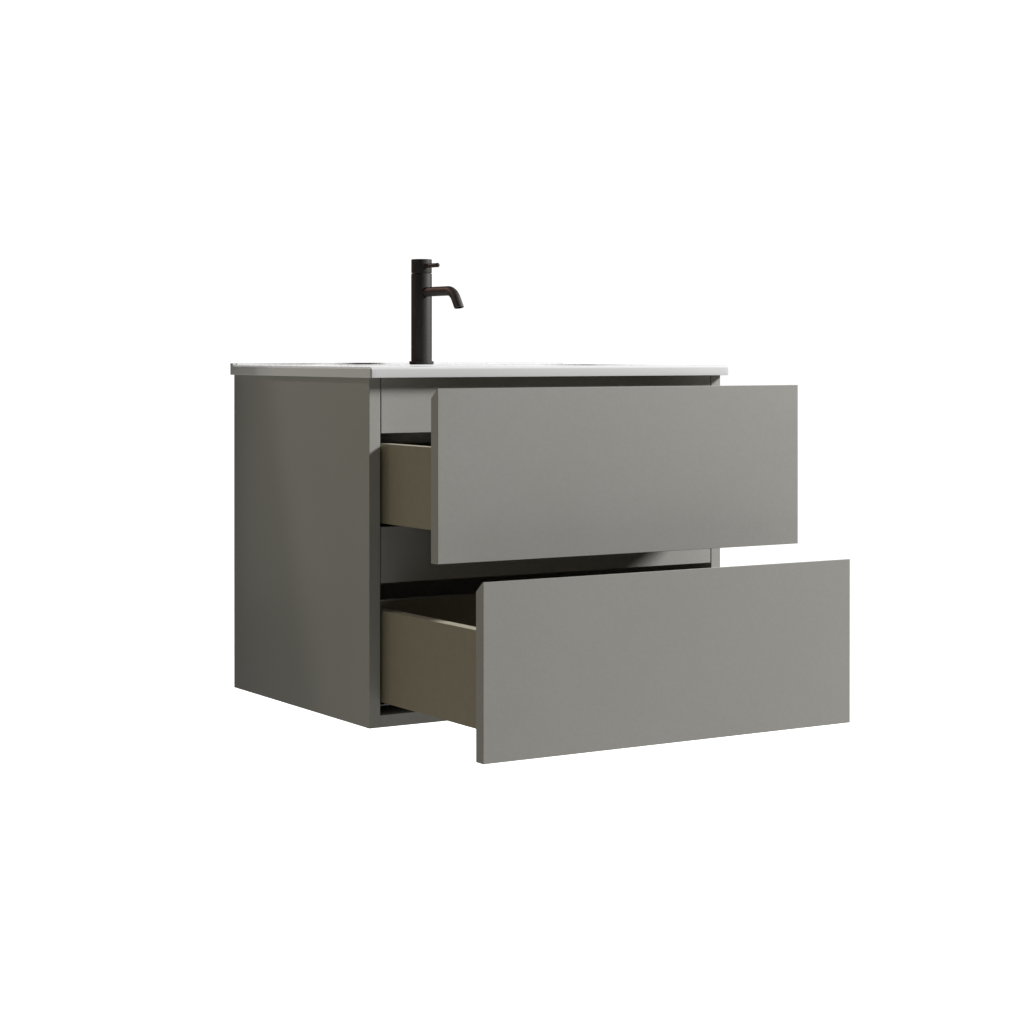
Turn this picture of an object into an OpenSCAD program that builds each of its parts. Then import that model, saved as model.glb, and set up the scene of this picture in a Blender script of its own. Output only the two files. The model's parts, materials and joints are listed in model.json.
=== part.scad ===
// Floating vanity with two handleless drawers, a ceramic basin, a mixer tap and a bottle trap.
// Frame: X across the width, -Y to the front, +Z up. The origin is on the wall plane, midway
// across the width, level with the cabinet's underside. The rest pose has both drawers part open.

/* [Cabinet] */
// Width of the cabinet
cab_w = 600; // [590:5:640]
// Depth of the side panels
cab_d = 440; // [440:5:460]
// Height of the cabinet without the basin
cab_h = 480.5; // [480:0.5:490]
// Thickness of the cabinet boards
board_t = 17; // [16:0.5:18]
// Gap between the cabinet's back edges and the wall
wall_gap = 3; // [3:0.5:5]
// Height of the front and rear rails under the basin
rail_h = 76.5; // [70:0.5:78]

/* [Drawers] */
// Thickness of a drawer front
front_t = 18; // [16:1:19]
// How much narrower a front is than the cabinet
front_clear = 2.5; // [1:0.5:6]
// Height of each drawer front
front_h = 228.5; // [220:0.5:230]
// Height of the lower front's bottom edge against the cabinet's underside
low_front_z = -1.5; // [-3:0.5:0]
// Height of the upper front's bottom edge
up_front_z = 240; // [236:0.5:242]
// Drop of the grip bevel on a front's top edge
bevel_drop = 13; // [8:0.5:16]
// Thickness of the drawer box boards
box_t = 18; // [16:1:18]
// Height of the upper box's side
up_box_h = 109.5; // [90:0.5:112]
// Height of the lower box's side
low_box_h = 126.3; // [110:0.1:140]
// Underside of the upper box
up_box_z = 280; // [280:0.5:281]
// Underside of the lower box
low_box_z = 33.7; // [32:0.1:36]
// Length of a drawer box behind its front
box_len = 407.5; // [400:0.5:410]
// How far the upper drawer stands open at rest
up_open = 168; // [2:0.1:380]
// How far the lower drawer stands open at rest
low_open = 282.4; // [2:0.1:380]

/* [Basin] */
// Overhang of the basin at each side
basin_side = 6; // [2:0.5:8]
// Overhang of the basin at the front
basin_front = 15; // [10:0.5:20]
// Thickness of the basin's rim
rim_t = 15.5; // [12:0.5:20]
// Width of the bowl
bowl_w = 500; // [420:10:510]
// Depth of the bowl below the rim
bowl_depth = 100; // [80:1:102]
// Corner radius of the bowl in plan
bowl_r = 62; // [50:1:80]

/* [Tap] */
// Diameter of the tap's body
tap_d = 33; // [32:0.5:36]
// Height of the spout's centre above the rim
spout_h = 114.5; // [100:0.5:118]
// Diameter of the spout
spout_d = 15; // [13.6:0.1:15.4]

/* [Hidden] */
$fn = 48;
eps = 0.01;
hw = cab_w/2;
in_x = hw - board_t;            // inner face of a side panel
y_back = -wall_gap;             // back edges of the cabinet
y_front = -(wall_gap + cab_d);  // front edges of the cabinet
y_open = [y_front - up_open, y_front - low_open];   // back faces of the two fronts at rest
closed_gap = 2;                 // between a closed front and the cabinet
box_x = in_x - 5;               // outer face of a drawer side
box_in = box_x - box_t;
fw = cab_w - front_clear;
bottom_up = 12.5;               // recess under a drawer bottom
bottom_t = 12;
mid_z0 = 198.3;
mid_z1 = 275.4;
top_z0 = cab_h - rail_h;
rear_low_z1 = board_t + 150;    // lower edge of the plumbing cut-out in the rear board
rim_z = cab_h + rim_t;
drain_y = -235;
tap_y = -57;
bowl_yf = -403;
bowl_yb = -118;
floor_z = rim_z - bowl_depth;
under_z = floor_z - 10;
notch_x = 75;                   // half width of the trap notch in the upper drawer
sur_t = 12;
notch_front = drain_y - 60 - (up_open - closed_gap);
trap_z = under_z - 106;         // centre of the outlet pipe
back_top = min(up_box_z + up_box_h, under_z - 6.5);   // the boards that slide under the bowl
run_front = y_front + 19;       // front end of the fixed runner members
run_len = 380;
tz = rim_z + 0.7;               // underside of the tap's base ring
groove_z = rim_z + 143;         // top of the cartridge, under the shadow groove
cap_z0 = rim_z + 144.6;
cap_z1 = rim_z + 166.5;
lever_z = rim_z + 155.7;
pivot_y = tap_y + 9.5;          // tilt axis of the tap's cap
pivot_z = rim_z + 147.5;
rear_rail_z0 = cab_h - 136.5;
rear_rail_z1 = cab_h - 56.5;

carcass_c = [0.55, 0.54, 0.52];
box_c = [0.56, 0.52, 0.43];
steel_c = [0.72, 0.73, 0.74];
black_c = [0.10, 0.09, 0.09];
plastic_c = [0.90, 0.90, 0.89];
wood_c = [0.78, 0.64, 0.44];

// ---------- helpers ----------
module block(x, y, z) translate([min(x[0],x[1]), y[0], z[0]]) cube([abs(x[1]-x[0]), y[1]-y[0], z[1]-z[0]]);
module xrod(x, y, z, r) translate([min(x[0],x[1]), y, z]) rotate([0, 90, 0]) cylinder(r = r, h = abs(x[1]-x[0]));
module yrod(x, y, z, r) translate([x, y[1], z]) rotate([90, 0, 0]) cylinder(r = r, h = y[1]-y[0]);
module zrod(x, y, z, r) translate([x, y, z[0]]) cylinder(r = r, h = z[1]-z[0]);
module both() { children(); mirror([1, 0, 0]) children(); }
module ring_z(x, y, z, ro, ri) difference() { zrod(x, y, z, ro); zrod(x, y, [z[0]-1, z[1]+1], ri); }
module hexnut(x, y, z, af, ri) difference() {
  translate([x, y, z[0]]) cylinder(r = af/2/cos(30), h = z[1]-z[0], $fn = 6);
  zrod(x, y, [z[0]-1, z[1]+1], ri);
}
module round_rect(x, y, r) {   // corners [x0,x1] [y0,y1]
  translate([x[0]+r, y[0]]) square([x[1]-x[0]-2*r, y[1]-y[0]]);
  translate([x[0], y[0]+r]) square([x[1]-x[0], y[1]-y[0]-2*r]);
  for (cx = [x[0]+r, x[1]-r], cy = [y[0]+r, y[1]-r]) translate([cx, cy]) circle(r = r);
}

// ---------- cabinet joinery ----------
dow_r = 4;
dow_hole = 4.05;
edge_f = y_front + board_t/2;   // middle of the front rails' thickness
edge_b = y_back - board_t/2;    // middle of the rear rails' thickness
bot_dowel_y = [y_front + 43, y_front + 220, y_back - 43];
bot_cam_y = [y_front + 113, y_back - 113];
// Dowels of the cabinet, as [y, z]
dowels = concat([[edge_f, top_z0 + 16], [edge_f, cab_h - 15], [edge_f, mid_z0 + 14], [edge_f, mid_z1 - 14],
                 [edge_b, rear_rail_z0 + 12], [edge_b, rear_rail_z1 - 12],
                 [edge_b, board_t + 15], [edge_b, rear_low_z1 - 15]],
                [for (y = bot_dowel_y) [y, board_t/2]]);
// Cam fittings of the rails: [y of the bolt, z, y of the cam's open face, side that the cam enters from]
cams_y = [[edge_f, top_z0 + 38, y_front + board_t, -1],
          [edge_f, mid_z0 + 38, y_front + board_t, -1],
          [edge_b, rear_rail_z0 + 40, y_back - board_t, 1],
          [edge_b, board_t + 40, y_back - board_t, 1]];
cam_x = in_x - 24;
module cam_y(c, r, d) yrod(cam_x, [c[3] > 0 ? c[2] : c[2] - d, c[3] > 0 ? c[2] + d : c[2]], c[1], r);
module cabinet_joint_holes() {
  for (d = dowels) xrod([in_x - 18.5, in_x + 12.5], d[0], d[1], dow_hole);
  for (c = cams_y) xrod([cam_x + 7, in_x + 12], c[0], c[1], 3.3);
  for (y = bot_cam_y) xrod([cam_x + 7, in_x + 12], y, board_t/2, 3.3);
}
module cam_holes() for (c = cams_y) cam_y(c, 7.55, 13);
runner_screw_y = [run_front + 14, run_front + 164, run_front + 344];
runner_screw_z = [up_box_z + 14, low_box_z + 14];
hanger_screw = [[-34, cab_h - 48.5], [-52, cab_h - 12.5]];

module side_panel() difference() {
  block([in_x, hw], [y_front, y_back], [0, cab_h]);
  cabinet_joint_holes();
  for (y = runner_screw_y, z = runner_screw_z) xrod([in_x - 1, in_x + 12.5], y, z, 1.95);
  for (h = hanger_screw) xrod([in_x - 1, in_x + 12.5], h[0], h[1], 2.05);
}
module side_panel_left() color(carcass_c) mirror([1, 0, 0]) side_panel();
module side_panel_right() color(carcass_c) side_panel();

module bottom_panel() color(carcass_c) difference() {
  block([-in_x, in_x], [y_front, y_back], [0, board_t]);
  both() cabinet_joint_holes();
  both() for (y = bot_cam_y) zrod(cam_x, y, [board_t - 13, board_t + 1], 7.55);
}
// Rails have a 1.6 mm shadow groove where they meet the side panels
module front_rail(z0, z1) difference() {
  block([-in_x, in_x], [y_front, y_front + board_t], [z0, z1]);
  both() block([in_x - 1.6, in_x + 1], [y_front - 1, y_front + 4], [z0 - 1, z1 + 1]);
  both() cabinet_joint_holes();
  both() cam_holes();
}
module top_front_rail() color(carcass_c) front_rail(top_z0, cab_h);
module middle_front_rail() color(carcass_c) front_rail(mid_z0, mid_z1);
module rear_rail(z0, z1) difference() {
  block([-in_x, in_x], [y_back - board_t, y_back], [z0, z1]);
  both() cabinet_joint_holes();
  both() cam_holes();
}
module rear_top_rail() color(carcass_c) rear_rail(rear_rail_z0, rear_rail_z1);
// The rear board closes the back up to the rear rail, but for a cut-out for the pipe and hoses
module rear_lower_board() color(carcass_c) difference() {
  rear_rail(board_t, rear_rail_z0);
  block([-100, 100], [y_back - board_t - 1, y_back + 1], [rear_low_z1, rear_rail_z0 + 1]);
}
module cabinet_dowels() color(wood_c) both() for (d = dowels) xrod([in_x - 18, in_x + 12], d[0], d[1], dow_r);
module cam_locks() color(steel_c) both() {
  for (c = cams_y) difference() {
    cam_y(c, 7.5, 12.5);
    translate([cam_x, c[2], c[1]]) rotate([0, 35, 0]) block([-5, 5], [-1.5, 1.5], [-0.8, 0.8]);
  }
  for (y = bot_cam_y) difference() {
    zrod(cam_x, y, [board_t - 12.5, board_t], 7.5);
    translate([cam_x, y, board_t]) rotate([0, 0, 35]) block([-5, 5], [-0.8, 0.8], [-1.5, 1]);
  }
}
module cam_bolts() color(steel_c) both() {
  for (c = cams_y) xrod([cam_x + 7.6, in_x + 11.5], c[0], c[1], 3.2);
  for (y = bot_cam_y) xrod([cam_x + 7.6, in_x + 11.5], y, board_t/2, 3.2);
}

// ---------- wall fixing ----------
hz = cab_h - 56;                // underside of the hangers
module cabinet_hangers() color(steel_c) both() difference() {
  block([in_x - 17, in_x], [-66, -20], [hz, hz + 51.5]);
  block([in_x - 15.5, in_x - 1.5], [-64.5, -19], [hz + 1.5, hz + 50]);
  for (h = hanger_screw) xrod([in_x - 1.6, in_x + 1], h[0], h[1], 2.05);
  for (h = hanger_screw) xrod([in_x - 18, in_x - 15], h[0], h[1], 4);
}
// Each hook reaches back over the raised lip of its wall plate. Its screws are drawn with it.
module hanger_hooks() color(steel_c) both() {
  block([in_x - 13, in_x - 4], [-60, -2.6], [hz + 46.7, hz + 49.7]);
  block([in_x - 13, in_x - 4], [-5.1, -2.6], [hz + 31.5, hz + 46.7]);
  block([in_x - 13, in_x - 4], [-60, -57], [hz + 15.5, hz + 46.7]);
  for (h = hanger_screw) {
    xrod([in_x - 1.5, in_x + 12], h[0], h[1], 2);
    xrod([in_x - 3.6, in_x - 1.5], h[0], h[1], 3.6);
  }
  yrod(in_x - 8.5, [-57, -48], hz + 21.5, 3);
}
module wall_plates() color(steel_c) both() difference() {
  union() {
    block([in_x - 61, in_x - 2], [-2, 0], [hz + 7.5, hz + 51.5]);
    block([in_x - 15, in_x - 2], [-8, -2], [hz + 25.5, hz + 27.5]);
    block([in_x - 15, in_x - 2], [-8, -6], [hz + 27.5, hz + 46.7]);
  }
  for (z = [hz + 17, hz + 42]) yrod(in_x - 43, [-3, 1], z, 3.5);
}
module wall_spacer_strip() color([0.16, 0.16, 0.16]) block([-260, 260], [y_back, 0], [-1, board_t - 1]);
module silicone_beads() color([0.85, 0.85, 0.84]) both()
  translate([0, y_front + board_t + 4, cab_h]) rotate([-90, 0, 0]) linear_extrude(height = cab_d - 2*board_t - 60)
    polygon([[in_x, 0], [in_x - 5, 0], [in_x, 5]]);

// ---------- concealed runners: b is the underside of the drawer side ----------
module fixed_member(b) translate([0, run_front, 0]) difference() {
  union() {
    block([in_x - 1.5, in_x], [0, run_len], [b - 7, b + 22]);
    block([in_x - 53, in_x], [0, run_len], [b - 7, b - 5.5]);
    block([in_x - 28.5, in_x - 27], [0, run_len], [b - 7, b + 2]);
    block([in_x - 32, in_x - 27], [0, run_len], [b + 0.8, b + 2]);
    block([in_x - 53, in_x - 51.5], [0, run_len], [b - 7, b + 2]);
    block([in_x - 53, in_x - 48], [0, run_len], [b + 0.8, b + 2]);
  }
  for (y = runner_screw_y) xrod([in_x - 2, in_x + 1], y - run_front, b + 14, 1.95);
}
module middle_member(b, out) translate([0, run_front - out, 0]) {
  block([in_x - 50, in_x - 30], [0, run_len], [b - 4.2, b - 0.2]);
  block([in_x - 43.5, in_x - 36.5], [0, run_len], [b - 0.2, b + 4.4]);
  block([in_x - 50, in_x - 30], [0, run_len], [b + 4.4, b + 10.4]);
}
module drawer_member(b, yf) translate([0, yf + 3, 0]) {
  block([in_x - 54, in_x - 26], [0, run_len], [b + 11, b + 12.5]);
  block([in_x - 27.5, in_x - 26], [0, run_len], [b + 2.6, b + 11]);
  block([in_x - 31.5, in_x - 27.5], [0, run_len], [b + 2.6, b + 3.8]);
  block([in_x - 54, in_x - 52.5], [0, run_len], [b + 2.6, b + 11]);
  block([in_x - 52.5, in_x - 48.5], [0, run_len], [b + 2.6, b + 3.8]);
}
module runner_clip(b, yf) difference() {
  block([in_x - 88, in_x - 54.4], [yf, yf + 72], [b + 3.5, b + 12.5]);
  block([in_x - 82, in_x - 60], [yf + 10, yf + 50], [b + 3, b + 9]);
}
module upper_fixed_runners() color(steel_c) both() fixed_member(up_box_z);
module lower_fixed_runners() color(steel_c) both() fixed_member(low_box_z);
module upper_middle_runners() color(steel_c) both() middle_member(up_box_z, (up_open - closed_gap)/2);
module lower_middle_runners() color(steel_c) both() middle_member(low_box_z, (low_open - closed_gap)/2);
module upper_drawer_runners() color(steel_c) both() drawer_member(up_box_z, y_open[0]);
module lower_drawer_runners() color(steel_c) both() drawer_member(low_box_z, y_open[1]);
module upper_runner_clips() color([0.45, 0.45, 0.46]) both() runner_clip(up_box_z, y_open[0]);
module lower_runner_clips() color([0.45, 0.45, 0.46]) both() runner_clip(low_box_z, y_open[1]);
module runner_screws() color(steel_c) both() for (y = runner_screw_y, z = runner_screw_z) {
  xrod([in_x - 1.5, in_x + 12], y, z, 1.9);
  xrod([in_x - 3, in_x - 1.5], y, z, 3.4);
}

// ---------- drawers ----------
side_dowel_dz = [30, 85];
module front_panel(yb, z0, b) difference() {
  translate([-fw/2, 0, 0]) rotate([90, 0, 90]) linear_extrude(height = fw)
    polygon([[yb, z0], [yb, z0 + front_h - bevel_drop], [yb - front_t + 1.5, z0 + front_h],
             [yb - front_t, z0 + front_h], [yb - front_t, z0]]);
  both() for (dz = side_dowel_dz) yrod(box_x - box_t/2, [yb - 12.5, yb + 1], b + dz, dow_hole);
}
module box_side(yf, b, h) difference() {
  block([box_in, box_x], [yf, yf + box_len], [b, b + h]);
  for (dz = side_dowel_dz) yrod(box_x - box_t/2, [yf - 1, yf + 18.5], b + dz, dow_hole);
  for (dz = side_dowel_dz) xrod([box_in - 1, box_in + 12.5], yf + box_len - box_t/2, b + dz, dow_hole);
  for (dy = [60, 200, 340]) xrod([box_in - 1, box_in + 10.5], yf + dy, b + bottom_up + bottom_t/2, 3.05);
}
module box_dowels(yf, b) both() {
  for (dz = side_dowel_dz) yrod(box_x - box_t/2, [yf - 12, yf + 18], b + dz, dow_r);
  for (dz = side_dowel_dz) xrod([box_in - 18, box_in + 12], yf + box_len - box_t/2, b + dz, dow_r);
  for (dy = [60, 200, 340]) xrod([box_in - 14, box_in + 10], yf + dy, b + bottom_up + bottom_t/2, 3);
}
module bottom_holes(yf, b) both() for (dy = [60, 200, 340])
  xrod([box_in - 14.5, box_in + 1], yf + dy, b + bottom_up + bottom_t/2, 3.05);
module back_holes(yf, b) both() for (dz = side_dowel_dz)
  xrod([box_in - 18.5, box_in + 1], yf + box_len - box_t/2, b + dz, dow_hole);
bz0 = up_box_z + bottom_up + bottom_t;    // floor of the upper drawer
module upper_front() color(carcass_c) front_panel(y_open[0], up_front_z, up_box_z);
module lower_front() color(carcass_c) front_panel(y_open[1], low_front_z, low_box_z);
module upper_side_left() color(box_c) mirror([1, 0, 0]) box_side(y_open[0], up_box_z, up_box_h);
module upper_side_right() color(box_c) box_side(y_open[0], up_box_z, up_box_h);
module lower_side_left() color(box_c) mirror([1, 0, 0]) box_side(y_open[1], low_box_z, low_box_h);
module lower_side_right() color(box_c) box_side(y_open[1], low_box_z, low_box_h);
module upper_back_panels() color(box_c) difference() {
  both() block([notch_x, box_in], [y_open[0] + box_len - box_t, y_open[0] + box_len], [up_box_z + bottom_up, back_top]);
  back_holes(y_open[0], up_box_z);
}
module upper_bottom() color(box_c) difference() {
  block([-box_in, box_in], [y_open[0], y_open[0] + box_len - box_t], [up_box_z + bottom_up, bz0]);
  block([-notch_x, notch_x], [notch_front, 0], [up_box_z, bz0 + 1]);
  bottom_holes(y_open[0], up_box_z);
}
module upper_trap_surround() color(box_c) {
  block([-notch_x - sur_t, notch_x + sur_t], [notch_front - sur_t, notch_front], [bz0, back_top]);
  both() block([notch_x, notch_x + sur_t], [notch_front, y_open[0] + box_len - box_t], [bz0, back_top]);
}
module upper_box_dowels() color(wood_c) box_dowels(y_open[0], up_box_z);
module lower_back() color(box_c) difference() {
  block([-box_in, box_in], [y_open[1] + box_len - box_t, y_open[1] + box_len], [low_box_z + bottom_up, low_box_z + low_box_h]);
  back_holes(y_open[1], low_box_z);
}
module lower_bottom() color(box_c) difference() {
  block([-box_in, box_in], [y_open[1], y_open[1] + box_len - box_t], [low_box_z + bottom_up, low_box_z + bottom_up + bottom_t]);
  bottom_holes(y_open[1], low_box_z);
}
module lower_box_dowels() color(wood_c) box_dowels(y_open[1], low_box_z);

// ---------- basin ----------
fil = 40;                       // fillet between the bowl's wall and floor
module bowl_half_profile(r, z0, z1, f) {   // wall at radius r, floor at z0, fillet f
  translate([0, z0]) square([r - f, z1 - z0]);
  translate([0, z0 + f]) square([r, z1 - z0 - f]);
  intersection() {
    translate([r - f, z0 + f]) circle(r = f);
    translate([r - f - 1, z0]) square([f + 1, f + 1]);
  }
}
// One quarter-turn corner at each corner, straight walls between them, and a core
module bowl_solid(x, y, z0, z1, r, f) {
  cx = x[1] - r; cy0 = y[0] + r; cy1 = y[1] - r;
  translate([0, 0, 0]) block([-cx, cx], [cy0, cy1], [z0, z1]);
  for (q = [[cx, cy1, 0], [-cx, cy1, 90], [-cx, cy0, 180], [cx, cy0, 270]])
    translate([q[0], q[1], 0]) rotate([0, 0, q[2]]) rotate_extrude(angle = 90) bowl_half_profile(r, z0, z1, f);
  translate([cx, cy1, 0]) rotate([90, 0, 0]) linear_extrude(height = cy1 - cy0) bowl_half_profile(r, z0, z1, f);
  translate([-cx, cy0, 0]) rotate([90, 0, 180]) linear_extrude(height = cy1 - cy0) bowl_half_profile(r, z0, z1, f);
  translate([-cx, cy1, 0]) rotate([90, 0, 90]) linear_extrude(height = 2*cx) bowl_half_profile(r, z0, z1, f);
  translate([cx, cy0, 0]) rotate([90, 0, 270]) linear_extrude(height = 2*cx) bowl_half_profile(r, z0, z1, f);
}
over_z = rim_z - 30;            // overflow hole's centre
module basin() color([0.93, 0.93, 0.93]) difference() {
  union() {
    translate([0, 0, cab_h]) linear_extrude(height = rim_t)
      round_rect([-hw - basin_side, hw + basin_side], [y_front - basin_front, 0], 2);
    block([-hw - basin_side + 5, hw + basin_side - 5], [-10, 0], [rim_z - eps, rim_z + 2.4]);
    bowl_solid([-bowl_w/2 - 10, bowl_w/2 + 10], [bowl_yf - 10, bowl_yb + 10], under_z, cab_h + 1, bowl_r + 10, fil + 10);
    block([-20, 20], [bowl_yb + 8, bowl_yb + 24], [under_z + 30, cab_h + 1]);
  }
  bowl_solid([-bowl_w/2, bowl_w/2], [bowl_yf, bowl_yb], floor_z, rim_z + 1, bowl_r, fil);
  zrod(0, drain_y, [under_z - 1, floor_z + 1], 23);
  zrod(0, drain_y, [floor_z - 2.2, floor_z + 1], 32.3);
  zrod(0, tap_y, [cab_h - 1, rim_z + 1], 17.5);
  yrod(0, [bowl_yb - 1, bowl_yb + 16], over_z, 10.6);
  zrod(0, bowl_yb + 15, [under_z + 20, over_z], 5);
}
module overflow_ring() color(steel_c) difference() {
  union() {
    yrod(0, [bowl_yb - 2.2, bowl_yb], over_z, 14);
    yrod(0, [bowl_yb - 1, bowl_yb + 8], over_z, 10.4);
  }
  yrod(0, [bowl_yb - 3, bowl_yb + 9], over_z, 8.8);
}

// ---------- waste and trap ----------
// The bush in the middle of the cross-bar guides the plug's stem
module waste_body() color(black_c) {
  difference() {
    union() {
      zrod(0, drain_y, [floor_z - 2.2, floor_z + 1.2], 31.8);
      zrod(0, drain_y, [under_z - 60, floor_z], 20.9);
    }
    zrod(0, drain_y, [under_z - 61, floor_z + 2], 17.5);
  }
  difference() {
    union() {
      zrod(0, drain_y, [floor_z - 32, floor_z - 20], 7);
      for (a = [30, 150, 270]) translate([0, drain_y, 0]) rotate([0, 0, a]) block([0, 18.5], [-1.5, 1.5], [floor_z - 32, floor_z - 24]);
    }
    zrod(0, drain_y, [floor_z - 33, floor_z - 19], 4.05);
  }
}
module waste_gasket() color([0.12, 0.12, 0.12]) {
  ring_z(0, drain_y, [under_z - 4, under_z], 31, 21.1);
}
module waste_back_nut() color(plastic_c) hexnut(0, drain_y, [under_z - 13, under_z - 4], 54, 21.1);
// Press-to-open plug: a domed cap on a stem that slides in the waste's cross-bar bush
module waste_plug() color(black_c) {
  zrod(0, drain_y, [floor_z + 9, floor_z + 12.5], 30);
  translate([0, drain_y, floor_z + 12.5]) cylinder(r1 = 30, r2 = 27.5, h = 1.2);
  zrod(0, drain_y, [floor_z - 36, floor_z + 9], 4);
  difference() {
    zrod(0, drain_y, [floor_z + 4, floor_z + 9], 16.6);
    zrod(0, drain_y, [floor_z + 3, floor_z + 8], 14.6);
  }
}
tb = under_z - 62;              // top edge of the trap's neck
module trap_bottle() color(plastic_c) difference() {
  union() {
    zrod(0, drain_y, [tb - 84, tb - 12], 30);
    zrod(0, drain_y, [tb - 12, tb], 19);
    yrod(0, [drain_y + 20, drain_y + 44], trap_z, 19);
  }
  zrod(0, drain_y, [tb - 85, tb - 16], 27);
  zrod(0, drain_y, [tb - 17, tb + 1], 15.5);
  yrod(0, [drain_y + 20, drain_y + 45], trap_z, 15.5);
}
// Ribbed cup that unscrews from the bottle
module trap_cup() color(plastic_c) difference() {
  union() {
    zrod(0, drain_y, [tb - 108, tb - 84], 31);
    zrod(0, drain_y, [tb - 84, tb - 70], 26.9);
    for (a = [0:30:330]) translate([0, drain_y, 0]) rotate([0, 0, a]) translate([31, 0, tb - 106]) cylinder(r = 1.6, h = 20);
  }
  zrod(0, drain_y, [tb - 105, tb - 69], 24);
}
module trap_nuts() color(plastic_c) {
  difference() {
    zrod(0, drain_y, [tb - 10, tb + 16], 26);
    zrod(0, drain_y, [tb + 0.2, tb + 17], 21.05);
    zrod(0, drain_y, [tb - 11, tb + 1], 19.1);
  }
  difference() {
    yrod(0, [drain_y + 36, drain_y + 58], trap_z, 24);
    yrod(0, [drain_y + 35, drain_y + 44.2], trap_z, 19.1);
    yrod(0, [drain_y + 44, drain_y + 59], trap_z, 16.1);
  }
}
// The bead is the stop for the socket in the wall
module trap_outlet_pipe() color(plastic_c) difference() {
  union() {
    yrod(0, [drain_y + 44.4, 0], trap_z, 16);
    yrod(0, [-70, -67], trap_z, 17.6);
  }
  yrod(0, [drain_y + 43, 1], trap_z, 14.4);
}

// ---------- tap ----------
tap_r = tap_d/2;
spout_z = rim_z + spout_h;
seat_z = spout_z + 9;           // seat of the cartridge
module tap_gasket() color([0.12, 0.12, 0.12]) ring_z(0, tap_y, [rim_z, tz], 18.6, 16);
module tap_base_ring() color(black_c) difference() {
  union() {
    zrod(0, tap_y, [tz, tz + 3.7], 19.5);
    translate([0, tap_y, tz + 3.7]) cylinder(r1 = 19.5, r2 = 19.1, h = 0.4);
  }
  zrod(0, tap_y, [tz - 1, tz + 6], tap_r + 0.02);
}
// Two risers lead to the cartridge's seat, and one passage leads down from it to the spout
module tap_body() color(black_c) difference() {
  union() {
    zrod(0, tap_y, [tz, groove_z + 0.6], tap_r);
    zrod(0, tap_y, [tz - 14.5, groove_z + 1.3], 15);
  }
  zrod(0, tap_y, [seat_z, groove_z + 2], 13.1);
  yrod(0, [tap_y - tap_r - 1, tap_y - 9], spout_z, spout_d/2 + 0.02);
  yrod(0, [tap_y - 10, tap_y], spout_z, 4.6);
  zrod(0, tap_y, [spout_z, seat_z + 1], 3);
  both() zrod(7.6, tap_y - 2.5, [tz - 6, seat_z + 1], 2.4);
  both() zrod(7.6, tap_y - 2.5, [tz - 16, tz - 4], 4.6);
  zrod(0, tap_y + 9.5, [tz - 16, tz - 3], 4.02);
}
sp_y1 = -141;                   // where the spout starts to bend
sp_R = 30;
sp_a = 56;
sp_l = 16.1;
sp_cut = 14;                    // the end is cut off nearly level, its front edge a little higher
module spout_tip() translate([0, sp_y1 - sp_R*sin(sp_a) - sp_l*cos(sp_a), spout_z - sp_R + sp_R*cos(sp_a) - sp_l*sin(sp_a)])
  rotate([90 + sp_a, 0, 0]) children();
// Straight run, bend and nose. The bend is thinner by d, so that its ends sit inside the straights.
module spout_run(r, extra, d, past) {
  yrod(0, [sp_y1 - 0.3, tap_y - 9.2 + extra], spout_z, r);
  translate([0, sp_y1, spout_z - sp_R]) rotate([180, -90, 0]) rotate_extrude(angle = sp_a) translate([sp_R, 0]) circle(r = r - d);
  spout_tip() translate([0, 0, -sp_l - 0.3]) cylinder(r = r, h = sp_l + 0.3 + past);
}
module tap_spout() color(black_c) difference() {
  spout_run(spout_d/2, 0, 0.03, 4);
  spout_run(4.6, 1, -0.03, 1);
  spout_tip() translate([0, 0, -11.5]) cylinder(r = 5.62, h = 17);
  spout_tip() rotate([90 - sp_a - sp_cut, 0, 0]) block([-12, 12], [-14, 14], [0, 12]);
}
module tap_aerator() color([0.2, 0.2, 0.2]) spout_tip() translate([0, 0, -4]) difference() {
  translate([0, 0, -7]) cylinder(r = 5.6, h = 7.6);
  for (a = [0:60:300]) rotate([0, 0, a]) translate([3.4, 0, -1.4]) cylinder(r = 0.9, h = 3);
  translate([0, 0, -1.4]) cylinder(r = 0.9, h = 3);
  translate([0, 0, -9]) cylinder(r = 4.4, h = 7);
}
module tap_cartridge() color(plastic_c) difference() {
  zrod(0, tap_y, [seat_z, groove_z], 13);
  zrod(0, tap_y, [groove_z - 11, groove_z + 1], 5.05);
}
module tap_stud() color(steel_c) zrod(0, tap_y + 9.5, [cab_h - 48, tz - 3.2], 4);
module tap_horseshoe_washer() color(steel_c) difference() {
  zrod(0, tap_y, [cab_h - 3, cab_h], 23);
  block([-13, 13], [tap_y - 40, tap_y + 3.5], [cab_h - 4, cab_h + 1]);
  zrod(0, tap_y + 9.5, [cab_h - 4, cab_h + 1], 4.2);
}
module tap_stud_nut() color(steel_c) hexnut(0, tap_y + 9.5, [cab_h - 11, cab_h - 3], 13, 4.02);
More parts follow.
